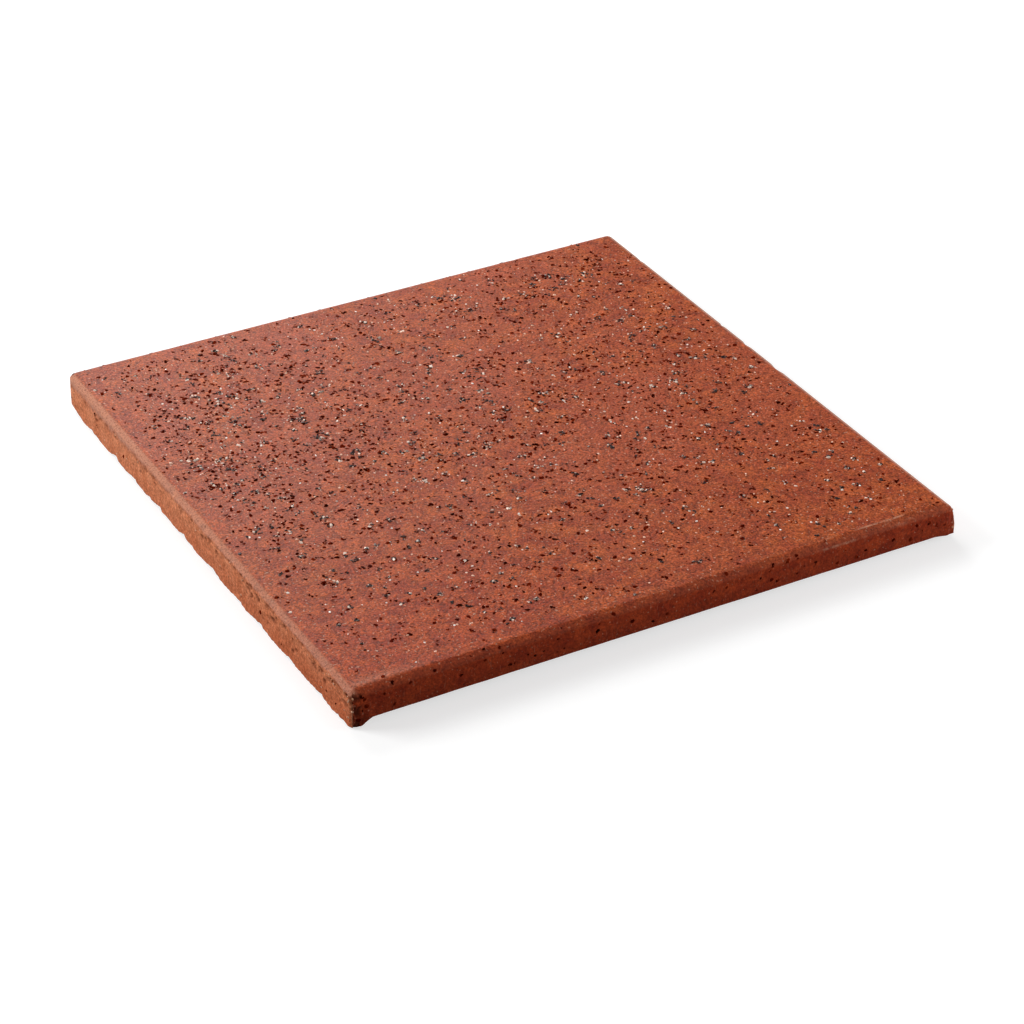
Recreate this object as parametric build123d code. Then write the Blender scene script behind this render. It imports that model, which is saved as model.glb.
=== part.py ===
"""Red abrasive quarry tile: one extruded, wire-cut and fired clay slab with a ribbed bed.

The ribs run along X, the way the clay left the die. The front and back edges (-Y and +Y) are die-formed,
and the left and right edges (-X and +X) are cut. The origin is at the middle of the bed, +Z is up, and all
sizes are in millimetres.
"""

import os

from build123d import *

# Slab: 6 in by 6 in by 3/8 in.
tile_length = 152.4
tile_width = 152.4
tile_thickness = 9.525

# Worn corners in plan, and the pressed bevel round the wearing face, measured along that face and down the sides.
corner_radius = 2.0
wearing_bevel_width = 1.8
wearing_bevel_height = 1.2

# Die-formed edges: their lower arris stands off the bed, and a shallow bevel runs from it down to the outer rib.
lower_arris_height = 2.0
bed_bevel_width = 9.0

# Key grooves between the ribs of the bed, with drafted walls and eased roots.
groove_count = 10
groove_pitch = 13.4
groove_mouth_width = 5.0
groove_depth = 0.9
groove_wall_draft = 30.0
groove_root_radius = 0.35

# How far a cutting profile reaches past the slab, so that no cut ends on a face.
cut_clearance = 2.0


def make_slab() -> Part:
    """The plain slab, standing on z = 0: bevelled round its wearing face, then worn round at its corners."""
    with BuildPart() as slab:
        with BuildSketch(Plane.XY):
            Rectangle(tile_length, tile_width)
        extrude(amount=tile_thickness)
        wearing_face = slab.faces().sort_by(Axis.Z)[-1]
        chamfer(wearing_face.edges(), wearing_bevel_width, wearing_bevel_height, reference=wearing_face)
        with BuildSketch(Plane.XY):
            RectangleRounded(tile_length, tile_width, corner_radius)
        extrude(amount=tile_thickness, mode=Mode.INTERSECT)
    return slab.part


def bed_bevel_outline() -> list[tuple[float, float]]:
    """Corners, in (y, z), of the wedge that is missing under the back edge."""
    edge_y = tile_width / 2
    slope = lower_arris_height / bed_bevel_width
    outer_y = edge_y + cut_clearance
    outer_z = lower_arris_height + slope * cut_clearance
    heel_y = edge_y - bed_bevel_width
    return [(heel_y, 0), (outer_y, outer_z), (outer_y, -cut_clearance), (heel_y, -cut_clearance)]


def make_bed_cutter() -> Part:
    """All that the die leaves out under the tile: the two edge bevels and the key grooves."""
    with BuildPart() as cutter:
        with BuildSketch(Plane.YZ):
            with BuildLine():
                Polyline(*bed_bevel_outline(), close=True)
            make_face()
            mirror(about=Plane.YZ)
            with GridLocations(groove_pitch, 1, groove_count, 1):
                add(groove_outline())
        extrude(amount=tile_length / 2 + cut_clearance, both=True)
    return cutter.part


def groove_outline() -> Sketch:
    """One key groove, centred on its pitch line: narrower at its eased root than at its mouth."""
    with BuildSketch() as groove:
        Trapezoid(groove_mouth_width, groove_depth, 90 - groove_wall_draft, align=(Align.CENTER, Align.MIN))
        fillet(groove.vertices().group_by(Axis.Y)[-1], groove_root_radius)
        Rectangle(groove_mouth_width, cut_clearance, align=(Align.CENTER, Align.MAX))
    return groove.sketch


def make_quarry_tile() -> Part:
    """The fired tile: the slab less what the die leaves out of its bed."""
    return make_slab() - make_bed_cutter()


os.makedirs("parts", exist_ok=True)
export_step(make_quarry_tile(), "parts/quarry_tile.step")
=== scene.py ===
"""Looks of a red abrasive quarry tile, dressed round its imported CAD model.

The slab is rebuilt as a fine mesh with the torn faces, chips and burrs of a cut and fired clay tile. Dark
specks, black abrasive grit and pale grains are scattered over it. Sizes are in millimetres until a mesh is
made. Meshes are in metres, in the frame of the CAD model: +Z is up, the bed lies on z = 0, the die-formed
edges face -Y and +Y, and the cut edges face -X and +X.
"""

import logging
import math
from dataclasses import dataclass, field, fields
from enum import Enum
from functools import partial

import bmesh
import bpy
import numpy as np
from mathutils import Matrix, Vector, noise


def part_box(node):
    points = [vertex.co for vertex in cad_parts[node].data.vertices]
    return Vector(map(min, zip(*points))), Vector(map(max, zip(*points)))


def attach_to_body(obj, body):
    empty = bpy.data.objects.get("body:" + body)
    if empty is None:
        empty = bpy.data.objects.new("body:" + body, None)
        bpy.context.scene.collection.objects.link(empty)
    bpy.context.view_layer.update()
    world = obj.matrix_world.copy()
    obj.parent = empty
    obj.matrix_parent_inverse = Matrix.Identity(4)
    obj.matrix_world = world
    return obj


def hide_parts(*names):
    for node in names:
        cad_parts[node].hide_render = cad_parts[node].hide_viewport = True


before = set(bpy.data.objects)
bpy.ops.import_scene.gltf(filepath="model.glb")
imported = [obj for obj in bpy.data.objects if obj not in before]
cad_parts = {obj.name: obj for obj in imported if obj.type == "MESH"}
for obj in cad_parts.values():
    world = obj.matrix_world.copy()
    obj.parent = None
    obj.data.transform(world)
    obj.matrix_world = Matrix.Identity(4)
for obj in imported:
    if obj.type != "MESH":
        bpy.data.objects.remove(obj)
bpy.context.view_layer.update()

log = logging.getLogger("quarry_tile")

MM = 0.001
TINY = 1e-6
CAD_NODE = "quarry_tile"
BODY = "root"
WHITE = "#FFFFFF"

Triple = tuple[float, float, float]

# Where something starts and where it ends, or the least and the most of a random draw.
Ramp = tuple[float, float]


def linear(code: str) -> tuple[float, float, float, float]:
    """Turn an sRGB hex colour into the linear colour that Blender's sockets take.

    Args:
        code: Six hex digits after a hash sign.

    Returns:
        Red, green and blue from 0 to 1, with an alpha of 1.
    """
    shares = [int(code[start:start + 2], 16) / 255 for start in (1, 3, 5)]
    red, green, blue = [s / 12.92 if s <= 0.04045 else ((s + 0.055) / 1.055) ** 2.4 for s in shares]
    return red, green, blue, 1.0


def per_metre(size_mm: float) -> float:
    """The texture scale, in repeats a metre, of a pattern with features of that size in millimetres."""
    return 1.0 / (size_mm * MM)


def link_object(name: str, data: bpy.types.ID) -> bpy.types.Object:
    """Add an object to the scene.

    Args:
        name: The object's name.
        data: The mesh, lamp or camera that it shows.

    Returns:
        The object, at the origin and unturned.
    """
    added = bpy.data.objects.new(name, data)
    bpy.context.scene.collection.objects.link(added)
    return added


def empty_tree(owner: bpy.types.Material | bpy.types.World) -> bpy.types.NodeTree:
    """Give a material or a world a shader tree with nothing in it.

    Args:
        owner: What the tree is for.

    Returns:
        The tree.
    """
    owner.use_nodes = True
    owner.node_tree.nodes.clear()
    return owner.node_tree


def add_node(tree: bpy.types.NodeTree, kind: str, inputs: dict | None = None, output: int | str | None = None,
             **settings: object) -> bpy.types.Node | bpy.types.NodeSocket:
    """Add a node to a tree, with its settings and its links.

    Args:
        tree: The shader or geometry tree.
        kind: The node's class name.
        inputs: For each input, by name or index, the value that it holds or the output socket that feeds it.
        output: The name or index of the output that the caller goes on from.
        **settings: Properties of the node itself.

    Returns:
        The socket of that output, or the node itself where no output is given.
    """
    node = tree.nodes.new(kind)
    for name, value in settings.items():
        setattr(node, name, value)
    for key, value in (inputs or {}).items():
        if isinstance(value, bpy.types.NodeSocket):
            tree.links.new(value, node.inputs[key])
        else:
            node.inputs[key].default_value = value
    return node if output is None else node.outputs[output]


def ease(values: np.ndarray, low: float | np.ndarray, high: float | np.ndarray) -> np.ndarray:
    """A smooth step from 0 at low to 1 at high, which may be the smaller of the two."""
    share = np.clip((values - low) / (high - low), 0.0, 1.0)
    return share * share * (3 - 2 * share)


def bell(values: np.ndarray, middle: float, reach: float) -> np.ndarray:
    """A bell curve that is 1 at the middle and fades over that reach."""
    return np.exp(-(((values - middle) / reach) ** 2))


@dataclass(frozen=True)
class Lumps:
    """Fractal noise in the clay, in millimetres.

    The size is that of the widest lumps, the same all ways or along X, Y and Z. The seed moves the pattern.
    Each octave is half the size of the last.
    """

    size: float | Triple
    seed: int
    octaves: int = 3
    depth: float = 1.0

    def at(self, points: np.ndarray) -> np.ndarray:
        """The noise at each of some points, about as far as the depth each way."""
        scaled = points / np.asarray(self.size) + np.array((17.3, 41.9, 73.1)) * self.seed
        return self.depth * np.array([noise.fractal(Vector(p), 1.0, 2.0, self.octaves) for p in scaled])


@dataclass(frozen=True)
class Drift:
    """A share that gains something, smoothly, from one place to another."""

    first: float
    gain: float
    start: float
    end: float

    def at(self, places: np.ndarray) -> np.ndarray:
        """The share at each of some places."""
        return self.first + self.gain * ease(places, self.start, self.end)


class Zone(Enum):
    """The parts of the tile's skin that differ in making or in wear, and where a highlight and shade are
    painted, each with a mask in the mesh.
    """

    CUT = "cut_face"
    DIE = "die_face"
    BED = "bed_face"
    # Wear, and a painted highlight on the strips beside the cut faces.
    WORN = "worn_line"
    # Painted shade in the pits, under the ledge and in the pocks of the front left end.
    PIT = "pit_shade"
    SPECK = "speck_share"
    GRIT = "grit_share"
    CRUMB = "crumb_share"


class Corner(Enum):
    """The tile's four corners, by the signs of X and Y there."""

    FRONT_LEFT = (-1, -1)
    FRONT_RIGHT = (1, -1)
    BACK_LEFT = (-1, 1)
    BACK_RIGHT = (1, 1)


@dataclass
class TileForm:
    """The plain tile, as its CAD model has it, with its corners worn each in its own way."""

    low: Vector
    high: Vector
    corner_radii: dict[Corner, float] = field(default_factory=lambda: {
        Corner.FRONT_LEFT: 1.6,
        Corner.FRONT_RIGHT: 1.2,
        Corner.BACK_LEFT: 2.6,
        Corner.BACK_RIGHT: 1.6,
    })
    arris_width: float = 1.8
    arris_height: float = 1.2
    arris_fullness: float = 1.3
    bevel_break: float = 0.41
    lower_arris_height: float = 2.0
    bevel_width: float = 9.0
    groove_count: int = 10
    groove_pitch: float = 13.4
    groove_mouth: float = 5.0
    groove_depth: float = 0.9
    groove_draft: float = 30.0
    smear_reach: float = 3.5
    smear_share: float = 0.75
    burr_reach: float = 5.2
    burr_foot: float = 1.8
    burr_left: float = 0.78
    burr_right: float = 0.35
    mask_rim: float = 0.3

    @property
    def half(self) -> float:
        """Half the length of a side."""
        return (self.high.x - self.low.x) / 2 / MM

    @property
    def thickness(self) -> float:
        """The height of the wearing face above the bed."""
        return (self.high.z - self.low.z) / MM

    @property
    def shoulder(self) -> float:
        """The height of the lower edge of the bevel round the wearing face."""
        return self.thickness - self.arris_height

    @property
    def groove_floor(self) -> float:
        """The width of a groove's root."""
        return self.groove_mouth - 2 * self.groove_depth * math.tan(math.radians(self.groove_draft))

    def groove_centres(self) -> np.ndarray:
        """Where the key grooves lie along Y."""
        return (np.arange(self.groove_count) - (self.groove_count - 1) / 2) * self.groove_pitch

    def bed_height(self, x: np.ndarray, y: np.ndarray) -> np.ndarray:
        """The height of the underside: bevels under the die-formed edges, and grooves between flat ribs.

        Near the cut edges the wire smeared clay into the grooves, and drew burrs down at the front corners.

        Args:
            x: Places along the ribs.
            y: Places across the ribs.

        Returns:
            Heights above the floor.
        """
        from_edge = self.half - np.abs(y)
        bevel = self.lower_arris_height * np.clip(1 - from_edge / self.bevel_width, 0.0, 1.0)
        left = self.burr_left * ease(self.half + x, self.burr_reach, self.burr_foot)
        right = self.burr_right * ease(self.half - x, self.burr_reach, 0.0)
        bevel = bevel * (1 - (left + right) * (y < 0))
        from_groove = np.min(np.abs(y[:, None] - self.groove_centres()[None, :]), axis=1)
        wall = (self.groove_mouth - self.groove_floor) / 2
        groove = self.groove_depth * np.clip((self.groove_mouth / 2 - from_groove) / wall, 0.0, 1.0)
        smear = self.smear_share * ease(self.half - np.abs(x), self.smear_reach, 0.0)
        return np.maximum(bevel, groove * (1 - smear))

    def corner_radius(self, x: np.ndarray, y: np.ndarray) -> np.ndarray:
        """The plan radius of the corner in whose quarter of the tile each point lies.

        Args:
            x: The points' places along X.
            y: Their places along Y.

        Returns:
            One radius for each point.
        """
        radius = np.zeros_like(x)
        for corner, size in self.corner_radii.items():
            side_x, side_y = corner.value
            radius[(x * side_x >= 0) & (y * side_y >= 0)] = size
        return radius

    def inset(self, box: np.ndarray) -> np.ndarray:
        """How far in from the nearest side each point of the plain box lies."""
        return self.half - np.max(np.abs(box[:, :2]), axis=1)

    def on_side(self, across: np.ndarray) -> np.ndarray:
        """The mask, from 0 to 1, of the two sides that lie at the ends of these places along X or Y."""
        return ease(np.abs(across), self.half - self.mask_rim, self.half)

    def down_bevel(self, from_side: np.ndarray, below_top: np.ndarray) -> np.ndarray:
        """How far down the bevel beside one pair of sides each point of the plain box lies.

        Args:
            from_side: How far in from the nearer of the two sides the points are.
            below_top: How far below the wearing face they are.

        Returns:
            Shares, from 0 on the wearing face to 1 at the lower edge of the bevel and under it.
        """
        over = np.clip(1 - from_side / self.arris_width, 0.0, 1.0)
        under = np.clip(below_top / self.arris_height, 0.0, 1.0) * (from_side < TINY)
        return self.bevel_break * over + (1 - self.bevel_break) * under

    def shaped(self, box: np.ndarray) -> np.ndarray:
        """Bend the skin of a plain box to the tile: worn corners, a bevelled arris on top and the ribbed bed.

        Args:
            box: Points of the plain box.

        Returns:
            The same points on the plain tile.
        """
        plan, z = box[:, :2], box[:, 2]
        inset = self.inset(box)
        corner = self.corner_radius(box[:, 0], box[:, 1])

        radius = np.maximum(corner - inset, 0.0)
        core = (self.half - inset - radius)[:, None]
        kept = np.clip(plan, -core, core)
        offset = plan - kept
        length = np.maximum(np.linalg.norm(offset, axis=1), TINY)[:, None]
        at_corner = (np.abs(offset) > TINY).all(axis=1)[:, None]
        plan = np.where(at_corner, kept + offset / length * radius[:, None], plan)

        ring = np.maximum(np.maximum(corner, self.arris_width) + TINY - inset, 0.0)
        core = (self.half - inset - ring)[:, None]
        outward = plan - np.clip(plan, -core, core)
        outward = outward / np.maximum(np.linalg.norm(outward, axis=1), TINY**2)[:, None]

        full = self.arris_fullness
        inside = np.clip(1 - inset / self.arris_width, 0.0, 1.0)
        above = np.clip((z - self.shoulder) / self.arris_height, 0.0, 1.0)
        on_arris = (inside > TINY) & (above > TINY)
        bent = np.where(on_arris, np.maximum((inside**full + above**full) ** (1 / full), TINY), 1.0)
        plan = plan - outward * ((inside - inside / bent) * self.arris_width)[:, None]

        floor = self.bed_height(plan[:, 0], plan[:, 1])
        side = floor + np.minimum(z, self.shoulder) * (self.shoulder - floor) / self.shoulder
        height = np.where(z > self.shoulder, self.shoulder + above / bent * self.arris_height, side)
        return np.column_stack([plan, height])


@dataclass(frozen=True)
class GritSpread:
    """How thickly grit lies on the wearing face: most at the back left, least at the front left."""

    front_share: float = 0.64
    front_ramp: Ramp = (8.0, -48.0)
    patch_x: float = -62.0
    patch_y: float = 26.0
    patch_reach: float = 30.0
    patch_gain: float = 0.6
    bare_x: float = -70.0
    bare_y: float = -66.0
    bare_reach: float = 24.0
    bare_loss: float = 0.5
    rim_share: float = 0.35
    rim_reach: float = 11.0
    bare_rim: float = 2.8

    def share(self, x: np.ndarray, y: np.ndarray, inset: np.ndarray) -> np.ndarray:
        """How thickly grit lies at points of the wearing face.

        Args:
            x: Places along X.
            y: Places along Y.
            inset: How far in from the nearest side they are.

        Returns:
            Shares of the usual thickness.
        """
        front = 1 - (1 - self.front_share) * ease(y, *self.front_ramp)
        from_patch = np.hypot(x - self.patch_x, y - self.patch_y)
        patch = 1 + self.patch_gain * bell(from_patch, 0.0, self.patch_reach)
        rim = self.rim_share + (1 - self.rim_share) * ease(inset, self.bare_rim, self.rim_reach)
        bare = 1 - self.bare_loss * bell(np.hypot(x - self.bare_x, y - self.bare_y), 0.0, self.bare_reach)
        return front * patch * bare * rim * ease(inset, 0.5 * self.bare_rim, self.bare_rim)


@dataclass(frozen=True)
class SkinZones:
    """Which part of the skin is which, and how thickly grains lie on each."""

    form: TileForm
    spread: GritSpread = GritSpread()
    back_starts: float = -20.0
    ragged: Lumps = Lumps((9.0, 3.0, 9.0), seed=3)
    ragged_share: float = 0.3
    ragged_gain: float = 0.6
    nibbled: Lumps = Lumps(0.9, seed=4, depth=0.25)
    cut_above: float = 0.3
    cut_fade: float = 0.6
    cut_fade_back: float = 2.4
    bevel_edge: float = 0.08
    bevel_share: float = 0.4
    bevel_gain: float = 0.46
    bevel_left: Drift = Drift(0.0, 0.28, -62.0, -73.0)
    die_fade: float = 0.1
    specks: Drift = Drift(0.3, 0.5, -58.0, -72.0)
    speck_on_cut: float = 0.05
    speck_foot: Ramp = (1.2, 2.6)
    crumb_share: float = 0.03
    crumb_below: float = 0.9
    crumb_reach: float = 0.9
    crumb_band: float = 0.12
    crumb_front: float = 1.2
    crumb_front_starts: float = -30.0
    crumb_corner: Drift = Drift(0.0, 0.5, 5.0, 1.0)
    crumb_foot: Ramp = (1.2, 2.4)

    def masks(self, box: np.ndarray) -> dict[Zone, np.ndarray]:
        """How far each point belongs to each part of the skin, from 0 to 1.

        Args:
            box: Points of the plain box, where the parts are whole sides.

        Returns:
            A mask for each zone that doesn't depend on wear.
        """
        form = self.form
        x, y, z = box.T
        below_top = form.thickness - z
        to_back = ease(y, self.back_starts, form.half)
        ragged = (self.ragged_share + self.ragged_gain * to_back) * self.ragged.at(box) + self.nibbled.at(box)
        full_cut = form.arris_height + self.cut_fade + self.cut_fade_back * to_back
        cut = form.on_side(x) * ease(below_top + ragged, form.arris_height - self.cut_above, full_cut)

        down = form.down_bevel(form.half - np.abs(y), below_top)
        on_bevel = ease(down, 0.0, self.bevel_edge) * (z > form.shoulder - TINY)
        left = self.bevel_left.at(x) * (1 - down)
        on_bevel = on_bevel * (self.bevel_share + self.bevel_gain * down + left)
        die = form.on_side(y)
        die = die * ease(below_top, form.arris_height - self.die_fade, form.arris_height + self.die_fade)
        die = np.maximum(die, on_bevel) * (1 - cut)

        grit = ease(below_top, form.mask_rim, 0.0) * self.spread.share(x, y, form.inset(box))
        specks = self.specks.at(x) * die + self.speck_on_cut * cut
        band = self.crumb_band + self.crumb_front * ease(y, self.crumb_front_starts, -form.half)
        band = bell(below_top, form.arris_height + self.crumb_below, self.crumb_reach) * band
        crumbs = self.crumb_share + band + self.crumb_corner.at(form.half + y)
        return {
            Zone.CUT: cut,
            Zone.DIE: die,
            Zone.BED: ease(z, form.mask_rim, 0.0) * (1 - cut),
            Zone.SPECK: grit + specks * ease(z, *self.speck_foot),
            Zone.GRIT: grit,
            Zone.CRUMB: cut * crumbs * ease(z, *self.crumb_foot),
        }


@dataclass(frozen=True)
class CutFaces:
    """What the wire left on the two cut faces: torn clay, pits, a ledge, a lean and a broken lower edge."""

    form: TileForm
    drag: Lumps = Lumps((5.0, 0.9, 4.0), seed=5, depth=0.2)
    hollow: Lumps = Lumps((5.0, 6.0, 3.0), seed=6, depth=0.22)
    grains: Lumps = Lumps(0.75, seed=7, octaves=2, depth=0.14)
    rough: Drift = Drift(0.6, 0.6, 60.0, -50.0)
    calm: Drift = Drift(0.3, 0.7, 0.5, 5.0)
    faces_apart: float = 40.0
    ledge_depth: float = 0.3
    ledge_below: float = 0.45
    ledge_reach: float = 0.35
    ledge_ramp: Ramp = (10.0, -55.0)
    ledge_ends: Ramp = (1.5, 8.0)
    loose: Lumps = Lumps(5.0, seed=8)
    loose_ramp: Ramp = (-0.15, 0.35)
    lean_left: float = 0.04
    lean_right: float = 0.3
    lean_corner: float = 0.95
    lean_corner_starts: float = -40.0
    lean_foot: float = 0.6
    lean_curve: float = 0.7
    pit_count: int = 170
    pit_small: float = 0.22
    pit_large: float = 0.75
    pit_depth: float = 0.7
    pit_bias: float = 1.7
    pit_below: float = 0.3
    pit_scatter: float = 2.2
    pit_stretch: Ramp = (0.8, 1.9)
    pit_shade: float = 1.3
    pit_seed: int = 11
    tooth_reach: float = 2.0
    tooth_height: Ramp = (0.1, 0.85)
    tooth_trail: Ramp = (2.0, 8.0)
    tooth_front: float = 0.9
    tooth_scatter: float = 1.2
    tooth_extra: int = 9
    tooth_fade: float = 2.4
    tooth_seed: int = 61
    nibbles: Lumps = Lumps(1.3, seed=9, octaves=2, depth=0.16)

    def pits(self, tile: np.ndarray, side: int) -> np.ndarray:
        """Small hollows where grains were torn out of a cut face, most of them just under the bevel.

        Args:
            tile: Points on the plain tile.
            side: Which cut face, by the sign of X there.

        Returns:
            The depth of the hollows at each point.
        """
        form = self.form
        draw = np.random.default_rng(self.pit_seed + side)
        depth = np.zeros(len(tile))
        face = np.flatnonzero(tile[:, 0] * side > form.half - form.arris_width)
        y, z = tile[face, 1], tile[face, 2]
        for _ in range(self.pit_count):
            at_y = form.half * (2 * draw.random() ** self.pit_bias - 1)
            at_z = form.shoulder - self.pit_below - abs(draw.normal(0.0, self.pit_scatter))
            width = self.pit_small + (self.pit_large - self.pit_small) * draw.random() ** 2
            length = width * draw.uniform(*self.pit_stretch)
            gap = np.hypot((y - at_y) / length, (z - at_z) / width)
            hollow = width * self.pit_depth * np.clip(1 - gap**2, 0.0, 1.0)
            depth[face] = np.maximum(depth[face], hollow)
        return depth

    def teeth(self, y: np.ndarray, side: int) -> np.ndarray:
        """How far up the lower edge of a cut face is torn: a tooth at each groove and some between.

        Args:
            y: Places along the face.
            side: Which cut face, by the sign of X there.

        Returns:
            Heights, steep on the side that the wire came from and trailing off behind it.
        """
        form = self.form
        draw = np.random.default_rng(self.tooth_seed + side)
        at_grooves = form.groove_centres() + draw.normal(0.0, self.tooth_scatter, form.groove_count)
        starts = np.concatenate([at_grooves, draw.uniform(-form.half, form.half, self.tooth_extra)])
        heights = draw.uniform(*self.tooth_height, len(starts))
        trails = draw.uniform(*self.tooth_trail, len(starts))
        along = y[:, None] - starts[None, :]
        steep = ease(along, -self.tooth_front, 0.0)
        return (heights * steep * (1 - ease(along, 0.0, trails))).max(axis=1)

    def lean(self, side: np.ndarray, y: np.ndarray, below_top: np.ndarray) -> np.ndarray:
        """How far a cut face leans out, most at its foot.

        Args:
            side: Which face each point is on, by the sign of X there.
            y: The points' places along the face.
            below_top: How far below the wearing face they are.

        Returns:
            One distance for each point.
        """
        form = self.form
        at_corner = self.lean_corner * ease(y, self.lean_corner_starts, -form.half)
        most = np.where(side < 0, self.lean_left, self.lean_right + at_corner)
        reach = self.lean_foot * form.thickness - form.arris_height
        return most * np.clip((below_top - form.arris_height) / reach, 0.0, 1.0) ** self.lean_curve

    def torn(self, box: np.ndarray, tile: np.ndarray, cut: np.ndarray) -> tuple[np.ndarray, np.ndarray]:
        """Tear the cut faces.

        Args:
            box: Points of the plain box.
            tile: The same points on the plain tile.
            cut: The mask of the cut faces.

        Returns:
            The points with the faces torn, and how deep in a pit or under a ledge each point is, from 0 to 1,
            as a mask of painted shade.
        """
        form = self.form
        side = np.sign(box[:, 0])
        y = tile[:, 1]
        below_top = form.thickness - tile[:, 2]
        from_end = form.half - np.abs(y)
        rough = 0.5 * (self.drag.at(tile) + self.hollow.at(tile) + self.grains.at(tile))
        rough = rough * self.rough.at(y) * self.calm.at(from_end)
        along = np.column_stack([side * self.faces_apart, y, np.zeros_like(y)])
        loose = ease(self.loose.at(along), *self.loose_ramp)
        loose = loose * ease(y, *self.ledge_ramp) * ease(from_end, *self.ledge_ends)
        ledge = self.ledge_depth * loose
        ledge = ledge * bell(below_top, form.arris_height + self.ledge_below, self.ledge_reach)
        right_pits = self.pits(tile, 1) * ease(from_end, self.calm.start, self.calm.end)
        pits = np.maximum(self.pits(tile, -1), right_pits)

        shaped = tile.copy()
        shaped[:, 0] -= side * cut * (rough + ledge + pits - self.lean(side, y, below_top))
        above_bed = tile[:, 2] - form.bed_height(tile[:, 0], y)
        teeth = np.where(side < 0, self.teeth(y, -1), self.teeth(y, 1))
        nibbled = teeth + np.abs(self.nibbles.at(along))
        near_cut = ease(np.abs(box[:, 0]), form.half - self.tooth_reach, form.half)
        near_bed = ease(above_bed, self.tooth_fade, 0.0) * (box[:, 2] < form.shoulder)
        shaped[:, 2] += nibbled * near_cut * near_bed
        # Painted shade: the pits and the ledge darken the clay's colour.
        shade = cut * np.clip((ledge + self.pit_shade * pits) / self.ledge_depth, 0.0, 1.0)
        return shaped, shade


@dataclass(frozen=True)
class Chip:
    """A shallow shell-shaped chip: what lies inside a large ball is worn back to the ball."""

    place: Triple
    facing: Triple
    depth: float
    length: float
    rim_width: float = 0.1
    rim_tint: float = 0.3
    shell_tint: float = 0.05
    tint_reach: float = 0.7

    def strike(self, points: np.ndarray) -> tuple[np.ndarray, np.ndarray]:
        """Take the chip out of a skin.

        Args:
            points: The skin's points.

        Returns:
            The points with the chip out, and how pale the chip leaves each one, from 0 to 1: most at its rim.
        """
        ball = self.length**2 / (8 * self.depth)
        facing = np.array(self.facing) / np.linalg.norm(self.facing)
        centre = np.array(self.place) + facing * (ball - self.depth)
        away = points - centre
        gap = np.linalg.norm(away, axis=1)
        chipped = np.where((gap < ball)[:, None], centre + away * (ball / gap)[:, None], points)
        from_place = np.linalg.norm(points - np.array(self.place), axis=1)
        pale = np.maximum(self.rim_tint * bell(gap, ball, self.rim_width), self.shell_tint * (gap < ball))
        return chipped, pale * (from_place < self.length * self.tint_reach)


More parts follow.
